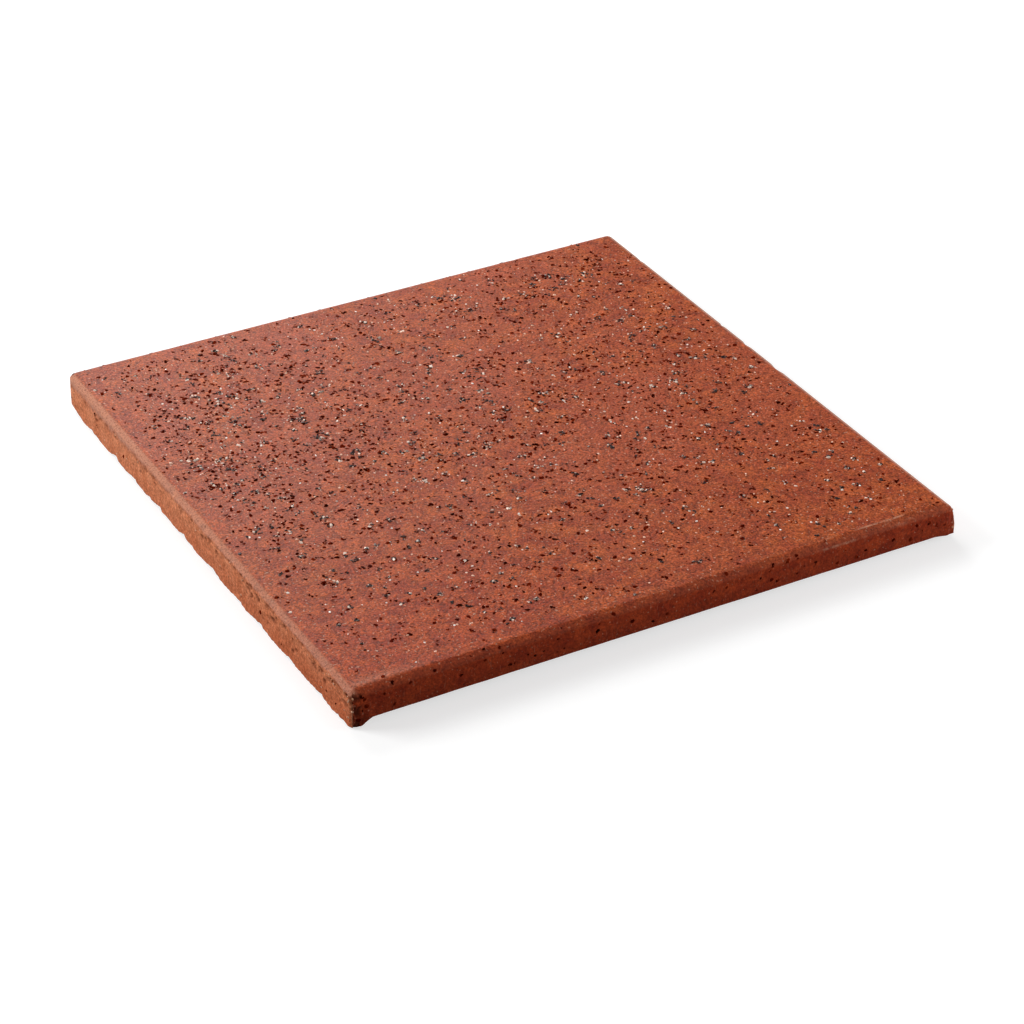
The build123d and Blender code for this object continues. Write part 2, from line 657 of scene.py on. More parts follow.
@dataclass(frozen=True)
class ArrisWear:
    """What handling did to the arrises: chips, broken pale lines, and bands that are rubbed all over, where a
    painted highlight joins the wear beside the cuts.
    """

    form: TileForm
    chip_count: int = 16
    chip_along: float = 0.95
    chip_depth: Ramp = (0.05, 0.14)
    chip_length: Ramp = (1.2, 3.0)
    chip_below: float = 0.3
    chip_inset: float = 0.5
    chip_slant: float = 0.15
    chip_facing: float = 0.7
    chip_seed: int = 101
    wobble: Lumps = Lumps(1.3, seed=23, octaves=2, depth=0.12)
    upper: Drift = Drift(0.12, 0.9, 25.0, 62.0)
    upper_inset: float = 0.05
    upper_width: float = 0.13
    lower: Drift = Drift(0.1, 0.6, 20.0, 50.0)
    lower_width: float = 0.12
    gaps: Lumps = Lumps((7.0, 3.0, 3.0), seed=21)
    gap_ramp: Ramp = (-0.3, 0.3)
    frays: Lumps = Lumps(0.8, seed=24, octaves=2)
    frayed: Drift = Drift(0.3, 0.7, -0.3, 0.2)
    dull: Drift = Drift(0.05, 0.03, 20.0, 60.0)
    dull_edge: float = 0.2
    strip_edge: float = 0.24
    strip_foot: Ramp = (1.0, 3.0)
    # How pale the strips beside the cut faces are: partly wear, partly painted highlight, growing towards the
    # back.
    rub: Drift = Drift(0.54, 0.18, -70.0, 60.0)
    haze: Drift = Drift(0.0, 0.3, -52.0, -72.0)
    haze_inset: float = 2.8
    haze_reach: float = 1.3

    def chips(self) -> list[Chip]:
        """The chips out of the arrises: a long one on the front, worn corners, and small ones all round.

        Returns:
            The chips, the three with a place of their own first.
        """
        form = self.form
        edge, top = form.half, form.thickness
        chips = [
            Chip((58.5, 0.75 - edge, top - 0.45), (0.05, -0.48, 0.88), 0.1, 8.0),
            Chip((0.6 - edge, 0.6 - edge, top - 0.6), (-0.45, -0.35, 0.82), 0.25, 4.5),
            Chip((0.9 - edge, edge - 0.9, top - 0.5), (-0.6, 0.35, 0.72), 0.35, 5.6, shell_tint=0.4),
        ]
        draw = np.random.default_rng(self.chip_seed)
        for number in range(self.chip_count):
            along = draw.uniform(-self.chip_along, self.chip_along) * edge
            depth, length = draw.uniform(*self.chip_depth), draw.uniform(*self.chip_length)
            height = top - draw.uniform(self.chip_below, form.arris_height)
            out = (-1, 1)[number % 2]
            plan = (along, out * (edge - self.chip_inset))
            facing = (draw.normal(0.0, self.chip_slant), out * self.chip_facing)
            if number % 4 > 1:
                plan, facing = plan[::-1], facing[::-1]
            chips.append(Chip((*plan, height), (*facing, self.chip_facing), depth, length))
        return chips

    def worn_lines(self, box: np.ndarray) -> np.ndarray:
        """Where the arrises are pale: rubbed in broken lines beside the die, and all over beside the cuts,
        where the pale band is partly wear and partly painted highlight.

        Args:
            box: Points of the plain box.

        Returns:
            How pale each point is.
        """
        form = self.form
        x, y, z = box.T
        from_side = form.half - np.abs(y)
        from_cut = form.half - np.abs(x)
        below_top = form.thickness - z
        on_top = below_top < TINY
        wobble = self.wobble.at(box)
        upper = bell(from_side + wobble, form.arris_width - self.upper_inset, self.upper_width) * on_top
        lower = bell(below_top + wobble, form.arris_height, self.lower_width) * (from_side < TINY)
        lines = upper * self.upper.at(x) * (y < 0) + lower * self.lower.at(x)
        lines = lines * ease(self.gaps.at(box), *self.gap_ramp) * self.frayed.at(self.frays.at(box))

        on_bevel = ease(form.down_bevel(from_side, below_top), 0.0, self.dull_edge)
        on_bevel = on_bevel * (below_top < form.arris_height + TINY)
        dull = self.dull.at(x) * on_bevel
        # The strips beside the cut faces: partly rubbed, partly painted highlight.
        strip_rub_and_highlight = ease(form.down_bevel(from_cut, below_top), 0.0, self.strip_edge) * ease(z, *self.strip_foot)
        strip_rub_and_highlight = strip_rub_and_highlight * (on_top | (from_cut < TINY))
        haze = self.haze.at(x) * bell(from_side, self.haze_inset, self.haze_reach) * (y < 0) * on_top
        return np.maximum.reduce([lines, dull, haze, self.rub.at(y) * strip_rub_and_highlight])


@dataclass
class TileBody:
    """The fired slab: the plain tile with what the die, the wire, the kiln and handling left on it."""

    form: TileForm
    lattice_step: float = 1.4
    edge_step: float = 0.6
    corner_reach: float = 3.6
    arris_step: float = 0.3
    arris_rows: int = 4
    row_step: float = 0.8
    cuts: int = 2
    smooth_angle: float = 55.0
    # How far from the front the right cut face takes the darker die tone as painted shade.
    wrap_reach: float = 4.0
    post_inset: float = 0.1
    post_reach: float = 0.35
    crown_reach: float = 1.5
    rub_post: float = 0.55
    top_fade: float = 0.8
    top_sunk: float = 0.07
    wave: Lumps = Lumps(16.0, seed=10, octaves=2, depth=0.05)
    ripple: Lumps = Lumps(3.0, seed=11, octaves=2, depth=0.02)
    die_sunk: float = 0.04
    drag: Lumps = Lumps((40.0, 9.0, 1.4), seed=12, octaves=2, depth=0.05)
    ridge_height: float = 0.08
    ridge_reach: float = 0.3
    end_reach: float = 4.0
    end_depth: float = 0.3
    pocks: Lumps = Lumps(1.1, seed=14, octaves=2)
    pocked: Drift = Drift(0.0, 1.4, -0.1, 0.3)
    bed: Lumps = Lumps((9.0, 2.5, 2.5), seed=13, depth=0.05)
    flaws: Lumps = Lumps(1.6, seed=22, octaves=2)
    flaw_ramp: Ramp = (-0.4, 0.3)
    name: str = "quarry_tile_body"

    def lattice_lines(self) -> tuple[np.ndarray, np.ndarray, np.ndarray]:
        """Where the mesh has lines along each axis: at every break of the section, and evenly between.

        Returns:
            Places along X, Y and Z, each from low to high.
        """
        form = self.form
        ends = (form.half, form.half - form.arris_width, form.half - self.corner_reach)
        x_breaks = {side * end for side in (-1, 1) for end in ends}
        y_breaks = x_breaks | {side * (form.half - form.bevel_width) for side in (-1, 1)}
        for centre in form.groove_centres():
            for reach in (form.groove_mouth / 2, form.groove_floor / 2):
                y_breaks |= {centre - reach, centre + reach}
        rows = round(form.shoulder / self.row_step)
        z_lines = np.concatenate([
            np.linspace(0, form.shoulder, rows, endpoint=False),
            np.linspace(form.shoulder, form.thickness, self.arris_rows + 1),
        ])
        return self.filled(sorted(x_breaks)), self.filled(sorted(y_breaks)), z_lines

    def filled(self, breaks: list[float]) -> np.ndarray:
        """Put lines at even steps between breaks, finer near the ends.

        Args:
            breaks: Where lines have to be, from low to high.

        Returns:
            Where all the lines are, the breaks among them.
        """
        stretches = []
        for start, stop in zip(breaks, breaks[1:]):
            inner = 0.0 if start < 0 < stop else min(abs(start), abs(stop))
            from_end = self.form.half - inner - TINY
            step = self.lattice_step
            if from_end <= self.corner_reach:
                step = self.edge_step
            if from_end <= self.form.arris_width:
                step = self.arris_step
            count = max(1, math.ceil((stop - start) / step - TINY))
            stretches.append(np.linspace(start, stop, count, endpoint=False))
        return np.concatenate([*stretches, breaks[-1:]])

    def lattice(self) -> tuple[np.ndarray, np.ndarray]:
        """The skin of a plain box, cut along the lattice lines.

        Returns:
            The box's points, and its faces as rows of four point numbers, all facing outwards.
        """
        lines = self.lattice_lines()
        spans = [np.arange(len(places) - 1) for places in lines]
        sheets = []
        for axis in range(3):
            u, v = (axis + 1) % 3, (axis + 2) % 3
            at_u, at_v = np.meshgrid(spans[u], spans[v], indexing="ij")
            for end in (0, len(lines[axis]) - 1):
                steps = [(0, 0), (1, 0), (1, 1), (0, 1)]
                sheet = np.zeros((at_u.size, 4, 3), int)
                sheet[:, :, axis] = end
                for corner, (step_u, step_v) in enumerate(steps if end else reversed(steps)):
                    sheet[:, corner, u] = at_u.ravel() + step_u
                    sheet[:, corner, v] = at_v.ravel() + step_v
                sheets.append(sheet)
        keys, faces = np.unique(np.concatenate(sheets).reshape(-1, 3), axis=0, return_inverse=True)
        points = np.stack([lines[axis][keys[:, axis]] for axis in range(3)], axis=1)
        return points, faces.reshape(-1, 4)

    def needs_cuts(self, edge: bmesh.types.BMEdge) -> bool:
        """Whether an edge of the box has to be divided.

        Args:
            edge: The edge.

        Returns:
            True where it is on a cut face, or runs along the arris beside a face.
        """
        first, last = (vertex.co for vertex in edge.verts)
        run = last - first
        side = self.form.half - TINY * 100
        band = self.form.half - self.form.arris_width - TINY * 100
        near_x, near_y = min(abs(first.x), abs(last.x)), min(abs(first.y), abs(last.y))
        along_arris = (near_x > band and abs(run.y) > TINY) or (near_y > band and abs(run.x) > TINY)
        return near_x > side or along_arris

    def refined_mesh(self) -> bpy.types.Mesh:
        """Make the box skin a mesh, with its cut faces and its arrises divided finely.

        Returns:
            The mesh, in millimetres.
        """
        points, faces = self.lattice()
        mesh = bpy.data.meshes.new(self.name)
        mesh.from_pydata(points.tolist(), [], faces.tolist())
        work = bmesh.new()
        work.from_mesh(mesh)
        edges = [edge for edge in work.edges if self.needs_cuts(edge)]
        bmesh.ops.subdivide_edges(work, edges=edges, cuts=self.cuts, use_grid_fill=True, use_single_edge=True)
        work.to_mesh(mesh)
        work.free()
        return mesh

    def finished(self, box: np.ndarray, zones: dict[Zone, np.ndarray]) -> np.ndarray:
        """Put all the relief on the plain tile, and add the masks of wear, painted highlight and painted
        shade to the zones.

        Args:
            box: Points of the plain box.
            zones: The mask of each part of the skin, which gains those for worn lines with painted highlight,
                and for painted shade in pits.

        Returns:
            The points of the finished skin.
        """
        form = self.form
        tile = form.shaped(box)
        points, zones[Zone.PIT] = CutFaces(form).torn(box, tile, zones[Zone.CUT])
        x, y, z = box.T
        below_top = form.thickness - z
        from_front = form.half + y
        # Painted shade: near the front, the right cut face takes the darker die tone.
        shaded_corner = zones[Zone.CUT] * (x > 0) * ease(from_front, self.wrap_reach, 0.5 * self.wrap_reach)
        post = zones[Zone.CUT] * (x < 0) * bell(from_front, self.post_inset, self.post_reach)
        crown = bell(np.hypot(form.half + x, below_top), 0.0, self.crown_reach)
        crown = crown * (from_front < form.arris_width)
        zones[Zone.CUT] = zones[Zone.CUT] - shaded_corner
        zones[Zone.DIE] = zones[Zone.DIE] + shaded_corner

        wave = self.wave.at(tile) + self.ripple.at(tile)
        points[:, 2] += ease(below_top, self.top_fade, 0.0) * (wave - self.top_sunk)
        ridge = self.ridge_height * bell(below_top, form.arris_height, self.ridge_reach)
        near_end = ease(form.half + tile[:, 0], self.end_reach, 0.4 * self.end_reach)
        torn_end = zones[Zone.DIE] * near_end * self.pocked.at(self.pocks.at(tile))
        # The pocks of the torn end take the painted shade of the pits.
        zones[Zone.PIT] = np.maximum(zones[Zone.PIT], torn_end * (1 - crown))
        sunk = self.die_sunk + self.drag.at(tile) * zones[Zone.DIE] - ridge + self.end_depth * torn_end
        points[:, 1] -= np.sign(y) * form.on_side(y) * sunk
        points[:, 2] += zones[Zone.BED] * (self.bed.depth + self.bed.at(tile))

        wear = ArrisWear(form)
        worn = wear.worn_lines(box)
        flaws = ease(self.flaws.at(tile), *self.flaw_ramp)
        for chip in wear.chips():
            points, pale = chip.strike(points)
            worn = np.maximum(worn, pale * flaws)
        worn = np.clip(worn, 0.0, 1.0) * (1 - zones[Zone.CUT])
        zones[Zone.WORN] = np.maximum(worn, self.rub_post * np.maximum(post, crown))
        return points

    def make(self) -> bpy.types.Object:
        """Build the finished slab.

        Returns:
            The slab's object, with its zone masks as attributes.
        """
        mesh = self.refined_mesh()
        flat = np.empty(len(mesh.vertices) * 3)
        mesh.vertices.foreach_get("co", flat)
        box = flat.reshape(-1, 3)
        zones = SkinZones(self.form).masks(box)
        points = self.finished(box, zones) * MM
        mesh.vertices.foreach_set("co", points.ravel())
        for zone, mask in zones.items():
            layer = mesh.attributes.new(zone.value, "FLOAT", "POINT")
            layer.data.foreach_set("value", mask.astype(np.float32))
        mesh.shade_smooth()
        mesh.set_sharp_from_angle(angle=math.radians(self.smooth_angle))
        mesh.update()
        return link_object(self.name, mesh)


@dataclass(frozen=True)
class ClayTone:
    """The colours of one part of the skin: where it is deep, where it is plain, and how rough it is."""

    deep: str
    plain: str
    roughness: float


@dataclass(frozen=True)
class FiredClay:
    """Unglazed red clay, extruded, wire-cut and fired: dry, sandy and mottled, with a redder die skin whose
    darker tone is partly painted shade.
    """

    wearing: ClayTone = ClayTone("#913D23", "#AA5228", 0.45)
    # Die tone: darker and redder than the wearing face, partly a die skin and partly painted shade.
    die: ClayTone = ClayTone("#802812", "#9B3A1A", 0.8)
    cut: ClayTone = ClayTone("#C27450", "#D28560", 0.95)
    bed: ClayTone = ClayTone("#97492E", "#B06A49", 0.95)
    # Rosy: partly the clay's own mauve mottling, partly painted sheen that grows towards the back of the
    # wearing face.
    rosy: str = "#A04B30"
    # Ruddy: painted shade that darkens the cut faces towards the front, and a redder tone towards their foot.
    ruddy: str = "#B05430"
    # Painted shade: the die faces darken towards their lower edge.
    burnt: str = "#561A0A"
    # Pale of wear, also laid as painted highlight on the strips beside the cut faces.
    worn: str = "#C08A70"
    # Painted shade in the pits, under the ledge and in the pocks.
    pit: str = "#401408"
    fleck: str = "#C99A80"
    flash: str = "#FAE6DF"
    drift_mm: float = 24.0
    mottle_mm: float = 4.0
    sand_mm: float = 1.0
    # The finest sand in the clay is smaller than this, and is drawn as coarse as it needs to show.
    grain_mm: float = 0.42
    fleck_mm: float = 0.6
    scratch_mm: float = 0.35
    scratch_stretch: float = 9.0
    skin_cover: float = 0.5
    pit_share: float = 0.6
    grain_relief: float = 0.7
    relief_mm: float = 0.1
    specular: float = 0.1
    name: str = "fired_red_clay"

    def make(self) -> bpy.types.Material:
        """Build the material.

        Returns:
            The material, which reads the zone masks of the slab.
        """
        material = bpy.data.materials.new(self.name)
        node = partial(add_node, empty_tree(material))
        place = node("ShaderNodeTexCoord", output="Object")
        upright = {"Vector": place, "Scale": (1.0, 1.0, 1 / self.scratch_stretch)}
        streaked = node("ShaderNodeMapping", upright, 0)
        along = node("ShaderNodeSeparateXYZ", {0: place}).outputs
        x, y, z = (along[axis] for axis in "XYZ")
        masks = {zone: node("ShaderNodeAttribute", output="Fac", attribute_name=zone.value)
                 for zone in (Zone.BED, Zone.DIE, Zone.CUT, Zone.WORN, Zone.PIT)}

        # Noise: where it is taken, the size of its features and how many finer layers it has.
        noises = {
            "drift": (place, self.drift_mm, 3.0),
            "mottle": (place, self.mottle_mm, 4.0),
            "sand": (place, self.sand_mm, 2.0),
            "grain": (place, self.grain_mm, 1.0),
            "fleck": (place, self.fleck_mm, 0.0),
            "scratch": (streaked, self.scratch_mm, 1.0),
        }
        for label, (where, size, detail) in noises.items():
            settings = {"Vector": where, "Scale": per_metre(size), "Detail": detail}
            noises[label] = node("ShaderNodeTexNoise", settings, "Fac")

        # Ramps: a value, the stretch of it that counts, and what that stretch becomes.
        ramps = {
            "mottle": (noises["mottle"], 0.35, 0.65, 0.0, 1.0),
            "sand": (noises["sand"], 0.3, 0.7, 0.84, 1.16),
            "grain": (noises["grain"], 0.28, 0.72, 0.42, 1.58),
            "fleck": (noises["fleck"], 0.72, 0.8, 0.0, 0.6),
            "scratch": (noises["scratch"], 0.68, 0.78, 0.0, 0.18),
            "rub": (noises["grain"], 0.1, 0.5, 0.0, 1.0),
            "rosy": (noises["drift"], 0.4, 0.7, 0.0, 0.75),
            # Painted sheen: the rosy share grows towards the back of the wearing face.
            "sheen_to_back": (y, -70 * MM, -20 * MM, 0.35, 1.0),
            "flash_front": (y, -25 * MM, -60 * MM, 0.0, 1.0),
            "flash_left": (x, 0.0, -40 * MM, 0.0, 1.0),
            # Painted shade: the cut faces turn darker and redder towards the front. They also turn redder
            # towards the foot.
            "front_shade": (y, 50 * MM, -70 * MM, 0.0, 0.5),
            "ruddy_low": (z, 7.0 * MM, 2.0 * MM, -0.2, 0.2),
            # Painted shade: the die faces darken towards the foot.
            "painted_foot_shade": (z, 6.5 * MM, 2.0 * MM, 0.0, 0.35),
        }
        for label, (value, low, high, start, stop) in ramps.items():
            limits = {"Value": value, "From Min": low, "From Max": high, "To Min": start, "To Max": stop}
            ramps[label] = node("ShaderNodeMapRange", limits, "Result")

        skin = node("ShaderNodeMath", {0: masks[Zone.DIE], 1: masks[Zone.CUT]}, 0, operation="MAXIMUM")
        skin = node("ShaderNodeMath", {0: skin, 1: self.skin_cover}, 0, operation="MULTIPLY")
        bare = node("ShaderNodeMath", {0: 1.0, 1: skin}, 0, operation="SUBTRACT")
        shares = {
            "rosy": ("MULTIPLY", ramps["rosy"], ramps["sheen_to_back"]),
            "flashed": ("MULTIPLY", ramps["flash_front"], ramps["flash_left"]),
            "ruddy": ("ADD", ramps["front_shade"], ramps["ruddy_low"]),
            "flecked": ("MULTIPLY", ramps["fleck"], bare),
            "scratched": ("MULTIPLY", ramps["scratch"], masks[Zone.DIE]),
            "rubbed": ("MULTIPLY", masks[Zone.WORN], ramps["rub"]),
            "shaded": ("MULTIPLY", masks[Zone.PIT], self.pit_share),
            "relief": ("MULTIPLY", noises["grain"], self.grain_relief),
        }
        for label, (operation, first, second) in shares.items():
            shares[label] = node("ShaderNodeMath", {0: first, 1: second}, 0, operation=operation)

        tones = {}
        for tone in (self.wearing, self.bed, self.die, self.cut):
            ends = {0: ramps["mottle"], 6: linear(tone.deep), 7: linear(tone.plain)}
            tones[tone] = node("ShaderNodeMix", ends, 2, data_type="RGBA")
        # Painted shade darkens the die faces towards the foot, and the cut faces towards the front.
        changes = {self.die: (ramps["painted_foot_shade"], self.burnt), self.cut: (shares["ruddy"], self.ruddy)}
        for tone, (share, code) in changes.items():
            ends = {0: share, 6: tones[tone], 7: linear(code)}
            tones[tone] = node("ShaderNodeMix", ends, 2, data_type="RGBA")

        # Layers of colour, from first to last: how much of each shows, its colour and the way it is laid.
        layers = [
            (shares["rosy"], linear(self.rosy), "MIX"),
            (shares["flashed"], linear(self.flash), "MULTIPLY"),
            (masks[Zone.BED], tones[self.bed], "MIX"),
            (masks[Zone.DIE], tones[self.die], "MIX"),
            (masks[Zone.CUT], tones[self.cut], "MIX"),
            (1.0, ramps["sand"], "MULTIPLY"),
            (bare, ramps["grain"], "MULTIPLY"),
            (shares["flecked"], linear(self.fleck), "MIX"),
            (shares["scratched"], linear(self.worn), "MIX"),
            # Worn lines and rubbed strips, the strips partly painted highlight.
            (shares["rubbed"], linear(self.worn), "MIX"),
            (shares["shaded"], linear(self.pit), "MIX"),
        ]
        colour = tones[self.wearing]
        for share, laid, way in layers:
            ends = {0: share, 6: colour, 7: laid}
            colour = node("ShaderNodeMix", ends, 2, data_type="RGBA", blend_type=way)
        roughness = self.wearing.roughness
        for zone, tone in ((Zone.BED, self.bed), (Zone.DIE, self.die), (Zone.CUT, self.cut)):
            ends = {0: masks[zone], 2: roughness, 3: tone.roughness}
            roughness = node("ShaderNodeMix", ends, 0, data_type="FLOAT")

        height = node("ShaderNodeMath", {0: noises["sand"], 1: shares["relief"]}, 0, operation="ADD")
        surface = node("ShaderNodeBsdfPrincipled", {
            "Base Color": colour,
            "Roughness": roughness,
            "Specular IOR Level": self.specular,
            "Normal": node("ShaderNodeBump", {"Height": height, "Distance": self.relief_mm * MM}, "Normal"),
        }, "BSDF")
        node("ShaderNodeOutputMaterial", {"Surface": surface})
        return material


@dataclass(frozen=True)
class GrainFinish:
    """The finish of grains that differ: each takes a colour between three, and a gloss, by its lustre."""

    name: str
    dull: str
    middle: str
    bright: str
    middle_lustre: float
    bright_lustre: float
    dull_roughness: float
    bright_roughness: float
    ior: float

    def make(self) -> bpy.types.Material:
        """Build the material.

        Returns:
            The material, which reads each grain's lustre.
        """
        material = bpy.data.materials.new(self.name)
        node = partial(add_node, empty_tree(material))
        lustre = node("ShaderNodeAttribute", output="Fac", attribute_name=GrainScatter.lustre_name)
        colour = linear(self.dull)
        start = 0.0
        for stop, code in ((self.middle_lustre, self.middle), (self.bright_lustre, self.bright)):
            limits = {"Value": lustre, "From Min": start, "From Max": stop}
            share = node("ShaderNodeMapRange", limits, "Result")
            colour = node("ShaderNodeMix", {0: share, 6: colour, 7: linear(code)}, 2, data_type="RGBA")
            start = stop
        limits = {"Value": lustre, "To Min": self.dull_roughness, "To Max": self.bright_roughness}
        surface = node("ShaderNodeBsdfPrincipled", {
            "Base Color": colour,
            "Roughness": node("ShaderNodeMapRange", limits, "Result"),
            "IOR": self.ior,
        }, "BSDF")
        node("ShaderNodeOutputMaterial", {"Surface": surface})
        return material


# Ironstone in the clay, burnt dark in the kiln: flat red-brown to black specks with no shine.
BURNT_IRONSTONE = GrainFinish("burnt_ironstone", "#200300", "#4E0C02", "#702009", middle_lustre=0.6,
                              bright_lustre=1.0, dull_roughness=0.95, bright_roughness=0.85, ior=1.03)

# Crushed silicon carbide: black grains with glassy facets, some steel grey, and a few near white whose colour
# is a painted glint.
BLACK_CARBIDE = GrainFinish("black_silicon_carbide", "#1A0603", "#361A12", "#FAE2D0", middle_lustre=0.68,
                            bright_lustre=0.9, dull_roughness=0.6, bright_roughness=0.3, ior=1.34)

# Pale, glassy grains, white to cream, whose colour is a painted glint that stands for light flashing off grit
# facets.
PALE_GLINT_FINISH = GrainFinish("crushed_quartz", "#DCA284", "#F0C8AC", "#FFFAF2", middle_lustre=0.55,
                     bright_lustre=0.9, dull_roughness=0.4, bright_roughness=0.12, ior=1.5)

# Crumbs of the tile's own clay that cling to the torn faces: dry, sandy and pale.
CLAY_CRUMBS = GrainFinish("clay_crumbs", "#8A4526", "#C0805C", "#E8C4A8", middle_lustre=0.6,
                          bright_lustre=1.0, dull_roughness=0.95, bright_roughness=0.9, ior=1.3)


@dataclass(frozen=True)
class GrainScatter:
    """Grains fired into the clay, or clinging to it: how thickly they lie, their sizes and how they sit."""

    name: str
    mask: Zone
    density: float
    fewest: int
    most: int
    reach: float
    smallest: float
    largest: float
    size_bias: float
    flattest: float
    roundest: float
    sink: float
    tilt: float
    angularity: float
    seed: int
    lustre_name = "lustre"
    size_name = "grain_size"

    @classmethod
    def tree(cls) -> bpy.types.NodeTree:
        """Build the geometry tree that every scatter shares.

        Returns:
            The tree, whose inputs are the slab, the grains' finish and the fields of this class.
        """
        tree = bpy.data.node_groups.new("grain_scatter", "GeometryNodeTree")
        kinds = {Zone: "String", int: "Int", float: "Float"}
        sockets = {"slab": "Geometry", "finish": "Material"}
        sockets.update({item.name: kinds[item.type] for item in fields(cls) if item.type in kinds})
        for label, kind in sockets.items():
            tree.interface.new_socket(label, in_out="INPUT", socket_type=f"NodeSocket{kind}")
        tree.interface.new_socket("grains", in_out="OUTPUT", socket_type="NodeSocketGeometry")
        node = partial(add_node, tree)
        given = node("NodeGroupInput").outputs
        stored = {"share": given["mask"], "open_top": Zone.GRIT.value, "stored_height": cls.size_name}
        for label, name in stored.items():
            named = {"Name": name}
            stored[label] = node("GeometryNodeInputNamedAttribute", named, "Attribute", data_type="FLOAT")

        # Random draws for each point, each with a seed of its own: the kind, the least and the most.
        lean = node("ShaderNodeMath", {0: given["tilt"], 1: -1.0}, 0, operation="MULTIPLY")
        draws = {
            "count": ("INT", given["fewest"], given["most"]),
            "size": ("FLOAT", 0.0, 1.0),
            "flatness": ("FLOAT", given["flattest"], given["roundest"]),
            "bearing": ("FLOAT", 0.0, math.tau),
            "away": ("FLOAT", 0.0, 1.0),
            "lean_x": ("FLOAT", lean, given["tilt"]),
            "lean_y": ("FLOAT", lean, given["tilt"]),
            "spin": ("FLOAT", 0.0, math.tau),
            "stretch": ("FLOAT", 0.6, 1.5),
            "lustre": ("FLOAT", 0.0, 1.0),
            "knock": ("FLOAT_VECTOR", (-1.0, -1.0, -1.0), (1.0, 1.0, 1.0)),
        }
        ports = {"FLOAT_VECTOR": (0, 1, 0), "FLOAT": (2, 3, 1), "INT": (4, 5, 2)}
        for salt, (label, (kind, least, most)) in enumerate(draws.items(), start=1):
            at_least, at_most, drawn = ports[kind]
            seed = node("ShaderNodeMath", {0: given["seed"], 1: float(salt)}, 0, operation="ADD")
            limits = {at_least: least, at_most: most, 8: seed}
            draws[label] = node("FunctionNodeRandomValue", limits, drawn, data_type=kind)

        # Sums on what is given, stored, drawn or worked out above: the name, the operation and its terms.
        known = {**{socket.name: socket for socket in given}, **stored, **draws}
        sums = (
            ("wanted", "MULTIPLY", "share", "density"),
            ("span", "SUBTRACT", "largest", "smallest"),
            ("biased", "POWER", "size", "size_bias"),
            ("length", "MULTIPLY_ADD", "biased", "span", "smallest"),
            ("height", "MULTIPLY", "length", "flatness"),
            ("width", "MULTIPLY", "length", "stretch"),
            ("room", "MINIMUM", "open_top", 1.0),
            ("room", "MULTIPLY", "room", "reach"),
            ("away", "MULTIPLY", "away", "room"),
            ("cosine", "COSINE", "bearing"),
            ("sine", "SINE", "bearing"),
            ("offset_x", "MULTIPLY", "away", "cosine"),
            ("offset_y", "MULTIPLY", "away", "sine"),
            ("sunk", "MULTIPLY", "height", "sink"),
            ("offset_z", "MULTIPLY", "sunk", -1.0),
            ("knock_reach", "MULTIPLY", "stored_height", "angularity"),
        )
        for name, operation, *terms in sums:
            inputs = {port: known.get(term, term) for port, term in enumerate(terms)}
            known[name] = node("ShaderNodeMath", inputs, 0, operation=operation)

        centres = node("GeometryNodeDistributePointsOnFaces", {
            "Mesh": given["slab"],
            "Density": known["wanted"],
            "Seed": given["seed"],
        }, distribute_method="RANDOM").outputs
        heaps = {"Geometry": centres["Points"], "Amount": draws["count"]}
        many = node("GeometryNodeDuplicateElements", heaps, "Geometry", domain="POINT")

        parts = {port: known[f"offset_{axis}"] for port, axis in enumerate("xyz")}
        offset = node("ShaderNodeCombineXYZ", parts, 0)
        offset = node("FunctionNodeRotateVector", {"Vector": offset, "Rotation": centres["Rotation"]}, 0)
        seated = node("GeometryNodeSetPosition", {0: many, "Offset": offset}, 0)

        turn = node("ShaderNodeCombineXYZ", {0: draws["lean_x"], 1: draws["lean_y"], 2: draws["spin"]}, 0)
        turn = node("FunctionNodeEulerToRotation", {0: turn}, 0)
        turns = {0: centres["Rotation"], 1: turn}
        turn = node("FunctionNodeRotateRotation", turns, 0, rotation_space="LOCAL")
        sizes = {port: known[name] for port, name in enumerate(("width", "length", "height"))}
        grains = node("GeometryNodeInstanceOnPoints", {
            "Points": seated,
            "Instance": node("GeometryNodeMeshIcoSphere", {"Radius": 1.0, "Subdivisions": 1}, "Mesh"),
            "Rotation": turn,
            "Scale": node("ShaderNodeCombineXYZ", sizes, 0),
        }, "Instances")
        for name, value in ((cls.size_name, known["height"]), (cls.lustre_name, draws["lustre"])):
            kept = {"Geometry": grains, "Name": name, "Value": value}
            grains = node("GeometryNodeStoreNamedAttribute", kept, 0, data_type="FLOAT", domain="INSTANCE")
        whole = node("GeometryNodeRealizeInstances", {0: grains}, 0)

        knock = {0: draws["knock"], "Scale": known["knock_reach"]}
        knocked = node("ShaderNodeVectorMath", knock, 0, operation="SCALE")
        angular = node("GeometryNodeSetPosition", {0: whole, "Offset": knocked}, 0)
        real = node("GeometryNodeRealizeInstances", {0: angular}, 0)
        dressed = node("GeometryNodeSetMaterial", {0: real, "Material": given["finish"]}, 0)
        node("NodeGroupOutput", {0: dressed})
        return tree

    def inputs(self, finish: bpy.types.Material) -> dict[str, object]:
        """Give the tree's named inputs their values.

        Args:
            finish: The grains' material.

        Returns:
            A value for each input but the slab, in metres, radians and counts a square metre.
        """
        units = {"density": 1 / MM**2, "reach": MM, "smallest": MM, "largest": MM, "tilt": math.radians(1.0)}
        values = {item.name: getattr(self, item.name) for item in fields(self)[2:]}
        values = {name: value * units.get(name, 1) for name, value in values.items()}
        return {"finish": finish, "mask": self.mask.value, **values}

